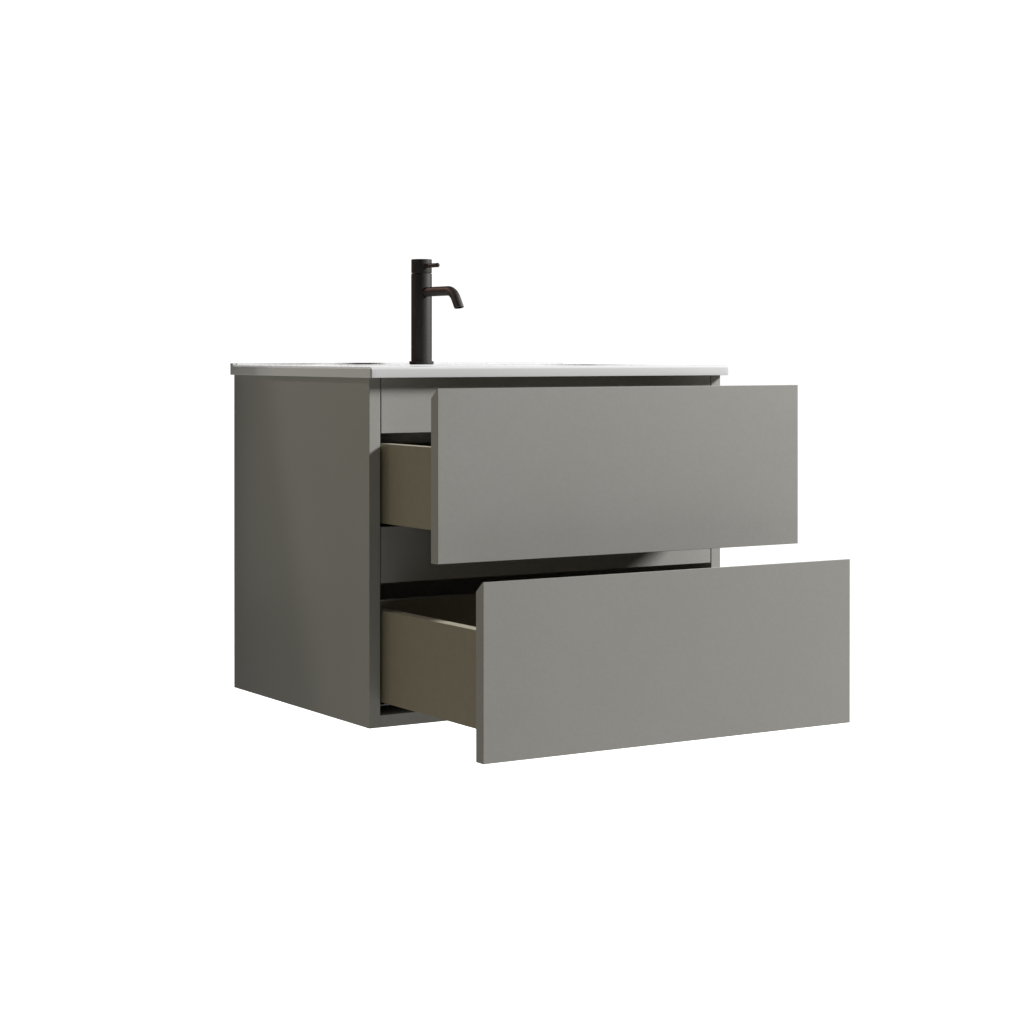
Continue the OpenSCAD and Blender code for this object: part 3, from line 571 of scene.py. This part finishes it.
def basin_mesh():
    ox, y0, y1 = 306.0, -458.0, 0.0
    ocx, ocy, ohy = 0.0, (y0 + y1) / 2, (y1 - y0) / 2
    angs = [2 * math.pi * i / 224 for i in range(224)]
    rc = 2.8
    for sx in (-1, 1):
        for sy, ye in ((-1, y0), (1, y1)):
            for k in range(9):
                t = math.pi / 2 * k / 8
                px = sx * (ox - rc + rc * math.cos(t))
                py = ye - sy * rc + sy * rc * math.sin(t)
                angs.append(math.atan2(py - DRAIN_Y, px) % (2 * math.pi))
        for y in (-3, -5.5, -7, -8, -9, -10, -10.4, -10.6, -11, -12, -13, -14, -16):
            angs.append(math.atan2(y - DRAIN_Y, sx * ox) % (2 * math.pi))
    angs = sorted(angs)
    keep = [angs[0]]
    for a in angs[1:]:
        if a - keep[-1] > 0.0006:
            keep.append(a)
    angs = keep
    bcx, bcy, bhx, bhy = 0.0, (-403.0 - 118.0) / 2, 250.0, (403.0 - 118.0) / 2
    loops = []

    def circle(r, z):
        loops.append(([(r * math.cos(a), DRAIN_Y + r * math.sin(a)) for a in angs], z))

    def inner(inset, z, r):
        loops.append((ray_hits(angs, bcx, bcy, bhx - inset, bhy - inset, max(r, 6.0)), z))

    edge = ray_hits(angs, ocx, ocy, ox, ohy, rc)

    def drawn_in(dx, dy0, dy1):
        return [(max(-(ox - dx), min(ox - dx, x)), max(y0 + dy0, min(y1 - dy1, y))) for x, y in edge]

    def outer(inset, z):
        loops.append((drawn_in(inset, inset, inset), z))

    def rim(t):
        # a soft edge round the rim; the upstand at the wall keeps a crisp one to its ends
        u, w = 1 - math.sin(t), 1 - math.cos(t)
        soft, crisp = drawn_in(5.2 * u, 4.6 * u, 4.6 * u), drawn_in(1.2 * u, 1.2 * u, 1.2 * u)
        pts, zs = [], []
        for e, a, b in zip(edge, soft, crisp):
            near = max(0.0, (abs(e[0]) - (ox - 25.0)) / 25.0)
            pts.append(b if e[1] > -10.5 else a)
            zs.append(RIM_Z + 2.4 - 1.2 * w if e[1] > -10.5 else RIM_Z - (4.6 + 0.6 * near * near) * w)
        loops.append((pts, zs))

    # drain: recess and shoulder
    circle(23.0, FLOOR_Z - 2.2)
    circle(31.0, FLOOR_Z - 2.2)
    circle(32.3, FLOOR_Z - 2.1)
    circle(32.3, FLOOR_Z - 0.8)
    circle(33.4, FLOOR_Z + 0.1)
    circle(36.0, FLOOR_Z + 0.4)
    circle(46.0, FLOOR_Z + 0.7)
    # gently falling floor, then the fillet up to the wall, then the wall with a little draft
    fil = 46.0
    for s in (0.35, 0.7, 1.0):
        a = ray_hits(angs, bcx, bcy, bhx - fil - 3, bhy - fil - 3, 40.0)
        c = [(46.0 * math.cos(t), DRAIN_Y + 46.0 * math.sin(t)) for t in angs]
        loops.append(([(p[0] * s + q[0] * (1 - s), p[1] * s + q[1] * (1 - s)) for p, q in zip(a, c)], FLOOR_Z + 0.7 + 2.6 * s))
    for k in range(1, 15):
        t = math.pi / 2 * k / 14 * 0.965
        inner(3 + fil * (1 - math.sin(t)) + 0.0, FLOOR_Z + 3.3 + fil * (1 - math.cos(t)), 40 + 18 * math.sin(t))
    z_here = FLOOR_Z + 3.3 + fil * (1 - math.cos(math.pi / 2 * 0.965))
    for k in range(1, 5):
        u = k / 4
        inner(3.1 * (1 - u) + 0.3 * u, z_here + (RIM_Z - 9.0 - z_here) * u, 58 + 3 * u)
    # rolled edge between the wall and the deck
    for k in range(1, 11):
        t = math.pi / 2 * k / 10
        inner(0.3 - 9.0 * (1 - math.cos(t)), RIM_Z - 9.0 + 9.0 * math.sin(t), 61 + 9.0 * (1 - math.cos(t)))
    # deck, outwards
    for u in (0.18, 0.4, 0.62, 0.8):
        a = ray_hits(angs, bcx, bcy, bhx + 8.7, bhy + 8.7, 70.0)
        b = drawn_in(18.0, 18.0, 18.0)
        loops.append(([(p[0] * (1 - u) + q[0] * u, p[1] * (1 - u) + q[1] * u) for p, q in zip(a, b)], RIM_Z))
    for ins in (18, 15, 13, 12, 11, 10, 9, 8, 7):
        outer(ins, RIM_Z)
    for k in range(0, 13):
        rim(math.pi / 2 * k / 12)
    outer(0.0, RIM_Z - 9.0)
    for k in range(0, 5):
        t = math.pi / 2 * k / 4
        outer(0.5 * (1 - math.cos(t)), CAB_H + 0.5 - 0.5 * math.sin(t))
    outer(6.0, CAB_H)
    # underside of the rim, then the bowl's outer wall
    def under(inset, z, r):
        loops.append((ray_hits(angs, bcx, bcy, bhx + 10 - inset, bhy + 10 - inset, r), z))
    # faces from here on, the rim's underside and the bowl's outer wall, take the painted-shade grey
    first_painted_shade_row = len(loops) + 2
    under(-9.0, CAB_H, 80.0)
    for k in range(1, 7):
        t = math.pi / 2 * k / 6
        under(-9.0 + 9.0 * math.sin(t), CAB_H - 9.0 + 9.0 * math.cos(t) , 80 - 8 * math.sin(t))
    for k in range(0, 13):
        t = math.pi / 2 * k / 12
        under(50.0 * (1 - math.cos(t)), UNDER + 50.0 - 50.0 * math.sin(t), 72 - 24 * math.sin(t) * 1.0)
    a = loops[-1][0]
    for s in (0.5,):
        c = [(36.0 * math.cos(t), DRAIN_Y + 36.0 * math.sin(t)) for t in angs]
        loops.append(([(p[0] * (1 - s) + q[0] * s, p[1] * (1 - s) + q[1] * s) for p, q in zip(a, c)], UNDER))
    circle(36.0, UNDER)
    circle(23.6, UNDER)
    circle(23.0, UNDER + 0.6)

    def ridge(y):
        t = min(1.0, max(0.0, (y + 13.5) / 3.0))
        return 2.4 * (t * t * (3 - 2 * t))

    bm = bmesh.new()
    rows = []
    for pts, z in loops:
        row = []
        for i, (x, y) in enumerate(pts):
            if isinstance(z, list):
                zz = z[i]
            else:
                zz = z + (ridge(y) if z > RIM_Z - 0.01 else 0.0)
            row.append(bm.verts.new((x, y, zz)))
        rows.append(row)
    k = len(angs)
    for n, (a, b) in enumerate(zip(rows, rows[1:] + rows[:1])):
        for i in range(k):
            j = (i + 1) % k
            f = bm.faces.new((a[i], a[j], b[j], b[i]))
            f.smooth = True
            f.material_index = 1 if n >= first_painted_shade_row else 0
    bmesh.ops.remove_doubles(bm, verts=bm.verts, dist=0.0005)
    return bm


basin = put("basin_glazed", basin_mesh(), GLAZE, "basin")
basin.data.materials.append(PAINTED_SHADE_UNDERSIDE)     # painted shade: where the cabinet hides it, the bowl's underside is a dark bluish grey instead of white
tap_hole, over_hole = bmesh.new(), bmesh.new()
lathe(tap_hole, [(0, 470), (17.5, 470), (17.5, 505), (0, 505)], (0, TAP_Y, 0), "Z", 64)
lathe(over_hole, [(0, -12), (10.6, -12), (10.6, 14), (0, 14)], (0, -118.0, RIM_Z - 30.0), "Y", 64)
cut_with(basin, [tap_hole, over_hole])
if not basin.data.materials:
    basin.data.materials.append(GLAZE)
sharpen(basin, 38)


# ------------------------------------------------------------------ waste, plug and overflow ring
turned("overflow_ring", rounded([(8.8, 0, 0), (8.8, 2.2, 0.5), (13.0, 2.2, 1.0), (14.0, 0.2, 0.4), (14.0, 0, 0), (10.4, 0, 0), (10.4, -8, 0.3), (8.8, -8, 0.3), (8.8, 0, 0)]),
       (0, -118.0, RIM_Z - 30.0), "-Y", 96)
turned("waste_plug", rounded([(0, 13.7, 0), (22.0, 13.7, 6.0), (27.5, 13.3, 1.2), (30.0, 12.0, 1.2), (30.0, 9.0, 0.5), (16.6, 9.0, 0.3), (16.6, 4.0, 0.4), (14.6, 4.0, 0.4), (14.6, 8.0, 0.3),
                              (4.0, 8.0, 0.4), (4.0, -36.0, 0.8), (0, -36.0, 0)]), (0, DRAIN_Y, FLOOR_Z), "Z", 112)


# ------------------------------------------------------------------ tap
TZ = RIM_Z + 0.7
BODY1, CAP0, CAP1, LEVER = RIM_Z + 143.6, RIM_Z + 144.6, RIM_Z + 166.5, RIM_Z + 155.7
R = 16.5
turned("tap_body", [(0, TZ - 14.5)] + rounded([(14.2, TZ - 14.5, 0), (15.0, TZ - 13.7, 0), (15.0, TZ, 0), (R, TZ, 0), (R, BODY1, 0.45), (15.0, BODY1, 0.1), (15.0, BODY1 + 0.7, 0.2),
                   (13.1, BODY1 + 0.7, 0.2), (13.1, 619.5, 0), (0, 619.5, 0)]), (0, TAP_Y, 0), "Z", 128)
turned("tap_base_ring", rounded([(R + 0.02, TZ, 0), (19.1, TZ, 0.4), (19.5, TZ + 0.4, 0.2), (19.5, TZ + 3.7, 0.3), (19.1, TZ + 4.1, 0.3), (R + 0.02, TZ + 4.1, 0), (R + 0.02, TZ, 0)]),
       (0, TAP_Y, 0), "Z", 128)
cap = turned("tap_cap", [(0, CAP1)] + rounded([(0.5, CAP1, 0), (15.55, CAP1, 0.5), (16.35, CAP1 - 0.8, 0.5), (16.35, CAP0, 0.4), (13.2, CAP0, 0.3), (13.2, CAP1 - 4.5, 0.8), (0, CAP1 - 4.5, 0)]),
             (0, TAP_Y, 0), "Z", 128)
wedge = bmesh.new()
cuboid(wedge, (-20, 0, -6), (20, 14, 0))
bmesh.ops.rotate(wedge, cent=(0, 0, 0), matrix=Matrix.Rotation(math.radians(18.5), 3, "X"), verts=wedge.verts)
bmesh.ops.translate(wedge, vec=(0, TAP_Y + 9.5, CAP0), verts=wedge.verts)
cut_with(cap, [wedge])
sharpen(cap)
ball = [(3.6 * math.cos(a), 50.7 + 3.6 * math.sin(a)) for a in [math.radians(-19 + 109 * k / 14) for k in range(14)]]
turned("tap_lever_pin", rounded([(0, 13.4, 0), (3.4, 13.4, 0), (3.4, 16.3, 0), (3.6, 16.45, 0), (3.4, 17.1, 0.2), (3.4, 48.0, 0)]) + ball + [(0, 54.3)],
       (0, TAP_Y, LEVER), "-Y", 64)


def spout_mesh():
    r_out, r_in, yc, zc = 7.5, 5.62, -141.0, RIM_Z + 114.5
    bend, ang, nose = 30.0, math.radians(56), 16.1
    slope = math.tan(math.radians(20))      # the end is cut off nearly level
    path = [(-66.2, zc)]
    for i in range(1, 25):
        path.append((-66.2 + (yc + 66.2) * i / 24, zc))
    for i in range(1, 33):
        t = ang * i / 32
        path.append((yc - bend * math.sin(t), zc - bend + bend * math.cos(t)))
    ey, ez = path[-1]
    for i in range(1, 6):
        path.append((ey - nose * math.cos(ang) * i / 8, ez - nose * math.sin(ang) * i / 8))
    n = 72

    def ring(bm, c, d, r, tilt=0.0):
        # c is (y, z), d the unit direction; the ring lies across d, or at a slope to it
        nx = Vector((1, 0, 0))
        nn = Vector((0, -d[1], d[0]))
        dd = Vector((0, d[0], d[1]))
        out = []
        for k in range(n):
            a = 2 * math.pi * k / n
            out.append(bm.verts.new(Vector((0, c[0], c[1])) + nx * (r * math.cos(a)) + (nn - dd * tilt) * (r * math.sin(a))))
        return out

    bm = bmesh.new()
    rows = []
    m = len(path)
    for i, c in enumerate(path):
        a, b = path[max(0, i - 1)], path[min(m - 1, i + 1)]
        d = Vector((b[0] - a[0], b[1] - a[1])).normalized()
        rows.append(ring(bm, c, d, r_out))
    d = Vector((-math.cos(ang), -math.sin(ang)))
    tip = Vector((ey, ez)) + d * nose
    for k in range(0, 6):
        t = math.pi / 2 * k / 5
        rows.append(ring(bm, tip - d * 0.4 * (1 - math.sin(t)), d, r_out - 0.4 * (1 - math.cos(t)), slope))
    for off, rr, tilt in ((0.0, r_in + 0.2, slope), (-0.2, r_in, slope), (-11.5, r_in, 0.0)):
        rows.append(ring(bm, tip + d * off, d, rr, tilt))
    for a, b in zip(rows, rows[1:]):
        for i in range(n):
            j = (i + 1) % n
            f = bm.faces.new((a[i], a[j], b[j], b[i]))
            f.smooth = True
    bm.faces.new(rows[0])
    bm.faces.new(rows[-1])
    return bm


sharpen(put("tap_spout_bent", spout_mesh(), BLACK, "tap_spout"))


# ------------------------------------------------------------------ trap
TB = UNDER - 62.0
TRAP_Z = UNDER - 106.0


def slots(count, depth, top, bottom):
    """Vertical grip ribs round a turned form."""
    def f(a, r, h):
        if r < 20 or not (bottom < h < top):
            return 0.0
        return -depth * (0.5 - 0.5 * math.cos(count * a)) ** 2
    return f


bm = bmesh.new()
lathe(bm, rounded([(0, TB - 84, 0), (30.0, TB - 84, 0.6), (30.0, TB - 12, 7.0), (19.0, TB - 12, 2.0), (19.0, TB, 0.4), (15.5, TB, 0.4), (15.5, TB - 10, 0), (0, TB - 10, 0)], 7), (0, DRAIN_Y, 0), "Z", 112)
lathe(bm, rounded([(0, 20, 0), (19.0, 20, 0), (19.0, 44, 0.4), (15.5, 44, 0.4), (15.5, 36, 0), (0, 36, 0)], 5), (0, DRAIN_Y, TRAP_Z), "Y", 96)
sharpen(put("trap_bottle_moulded", bm, WHITE, "trap_bottle"))
turned("trap_cup", [(0, TB - 108)] + rounded([(1, TB - 108, 0), (26.0, TB - 108, 3.0), (32.4, TB - 104, 3.0), (32.4, TB - 84, 1.0), (26.9, TB - 84, 0.2), (26.9, TB - 70, 0.4), (24.0, TB - 70, 0.4), (24.0, TB - 105, 2.0), (0, TB - 105, 0)], 6),
       (0, DRAIN_Y, 0), "Z", 240, ripple=slots(24, 1.4, TB - 85.5, TB - 105.5))
bm = bmesh.new()
lathe(bm, rounded([(21.05, TB + 16, 0), (24.5, TB + 16, 0.8), (26.0, TB + 14.5, 0.8), (26.0, TB - 10, 1.0), (19.1, TB - 10, 0.4), (19.1, TB + 0.2, 0), (21.05, TB + 0.2, 0), (21.05, TB + 16, 0)], 5), (0, DRAIN_Y, 0), "Z", 200, slots(20, 1.5, TB + 13, TB - 8.5))
lathe(bm, rounded([(19.1, 36, 0), (22.6, 36, 0.8), (24.0, 37.4, 0.8), (24.0, 56, 1.4), (16.1, 58, 0.6), (16.1, 44.2, 0), (19.1, 44.2, 0), (19.1, 36, 0)], 5), (0, DRAIN_Y, TRAP_Z), "Y", 200, slots(20, 1.4, 55, 39))
sharpen(put("trap_nuts_moulded", bm, WHITE, "trap_nuts"))
turned("trap_outlet_pipe", rounded([(16.0, 44.4, 0.3), (16.0, 165.0, 0), (17.6, 165.0, 0.6), (17.6, 168.0, 0.6), (16.0, 168.0, 0), (16.0, -DRAIN_Y, 0.6), (14.4, -DRAIN_Y, 0.6), (14.4, 44.4, 0.3), (16.0, 44.4, 0.3)]), (0, DRAIN_Y, TRAP_Z), "Y", 112)


# ------------------------------------------------------------------ stage and light
def stage_material(name, value):
    m = bpy.data.materials.new(name)
    m.use_nodes = True
    t = m.node_tree
    p = next(n for n in t.nodes if n.type == "BSDF_PRINCIPLED")
    p.inputs["Base Color"].default_value = (0.92, 0.92, 0.92, 1)
    p.inputs["Roughness"].default_value = 0.9
    p.inputs["Emission Color"].default_value = (1, 1, 1, 1)
    p.inputs["Emission Strength"].default_value = value
    return m


def hide_from_light(o):
    o.visible_diffuse = False
    o.visible_glossy = False
    o.visible_transmission = False
    o.visible_volume_scatter = False
    o.visible_shadow = False


bm = bmesh.new()
bmesh.ops.create_grid(bm, x_segments=1, y_segments=1, size=18.0)
me = bpy.data.meshes.new("floor")
bm.to_mesh(me)
bm.free()
floor = bpy.data.objects.new("floor", me)
floor.location = (0, 0, -0.355)
me.materials.append(stage_material("floor_pale", 1.0))
scene.collection.objects.link(floor)
hide_from_light(floor)
bm = bmesh.new()
bmesh.ops.create_icosphere(bm, subdivisions=4, radius=24.0)
me = bpy.data.meshes.new("backdrop")
bm.to_mesh(me)
bm.free()
dome = bpy.data.objects.new("backdrop", me)
me.materials.append(stage_material("backdrop_pale", 1.0))
scene.collection.objects.link(dome)
hide_from_light(dome)

world = bpy.data.worlds.new("studio")
scene.world = world
world.use_nodes = True
bg = next(n for n in world.node_tree.nodes if n.type == "BACKGROUND")
bg.inputs[0].default_value = (1.0, 0.922, 0.844, 1)
bg.inputs[1].default_value = 0.0692


def light(name, kind, where, toward, energy, size=1.0, size_y=None, color=(1, 1, 1), soft=0.06):
    d = bpy.data.lights.new(name, kind)
    d.energy = energy
    d.color = color
    if kind == "AREA":
        d.shape = "RECTANGLE" if size_y else "DISK"
        d.size = size
        if size_y:
            d.size_y = size_y
    if kind == "SPOT":
        d.spot_size = math.radians(size)
        d.spot_blend = soft
        d.shadow_soft_size = 0.04
    o = bpy.data.objects.new(name, d)
    o.location = where
    o.rotation_euler = (Vector(toward) - Vector(where)).to_track_quat("-Z", "Y").to_euler()
    scene.collection.objects.link(o)
    return o


# the key stands high at the right front; the left side gets what a lit wall beside it would send back
middle = Vector((0.0, -0.5, 0.3))
key_dir = Vector((2.4, -1.0, 1.53)).normalized()
light("key", "AREA", middle + key_dir * 4.7, middle, 395.0, 1.1)
light("floor_bounce", "AREA", (0.0, -1.5, -0.5), (0.0, -1.5, 1.0), 10.8, 3.0, 2.4, (0.98, 1.0, 0.967))
light("wall_bounce_far", "AREA", (-2.3, 0.02, 0.9), (-2.3, -1.0, 0.9), 6.0, 2.2, 2.4, (1.0, 0.98, 0.52))
light("wall_bounce_near", "AREA", (-0.78, 0.02, 0.94), (-0.78, -1.0, 0.94), 1.06, 0.84, 1.6, (1.0, 0.99, 0.86))
light("floor_bounce_back", "AREA", (0.0, 1.5, -0.5), (0.0, 1.5, 1.0), 14.0, 3.0, 2.0, (0.98, 1.0, 0.967))
# white cards behind the basin, seen only as reflections in its glaze
shiny = bpy.data.collections.new("glazed")
shiny.objects.link(basin)
for name, where, energy, w, h in (("rim_card_low", (1.3, 2.7, 1.45), 23.1, 3.2, 2.3), ("rim_card_left", (-0.95, 2.7, 2.05), 4.4, 1.3, 1.5)):
    card = light(name, "AREA", where, (where[0], 0.0, where[2]), energy, w, h)
    card.visible_diffuse = False
    card.visible_camera = False
    card.light_linking.receiver_collection = shiny
# what a pale floor in front sends back on to the open drawers' boxes
boxes = bpy.data.collections.new("boxes")
for o in list(scene.objects):
    if o.type == "MESH" and o.data.materials and o.data.materials[0] == BOXBOARD:
        boxes.objects.link(o)
box_fill = light("box_fill", "AREA", (-1.9, -2.2, 0.02), (-0.28, -0.6, 0.2), 4.4, 0.5, color=(1.0, 0.96, 0.86))
box_fill.light_linking.receiver_collection = boxes
# a narrow warm beam from behind the left, on the tap alone
beam = Vector((-0.35, 0.75, 0.55)).normalized()
spot = Vector((0.0, -0.09, 0.60))
dark_metal = bpy.data.collections.new("dark_metal")
for o in list(scene.objects):
    if o.type == "MESH" and o.data.materials and o.data.materials[0] == BLACK and o.name.startswith("tap"):
        dark_metal.objects.link(o)
accent = light("tap_accent", "SPOT", spot + beam * 2.6, spot, 72.0, 6.6, color=(1.0, 0.60, 0.48), soft=0.3)
accent.light_linking.receiver_collection = dark_metal
down = Vector((0.523, -0.267, -0.809)).normalized()
across = Vector((-0.004, -0.950, 0.311)).normalized()
high_left = Vector((-0.3, -0.176, 0.24)) - down * 2.6
half = math.radians(36.0)
light("warm_accent", "SPOT", high_left, high_left + down * math.cos(half) + across * math.sin(half), 30.5, 72.0, color=(1.0, 0.872, 0.870))

scene.view_settings.view_transform = "Standard"
scene.view_settings.look = "None"
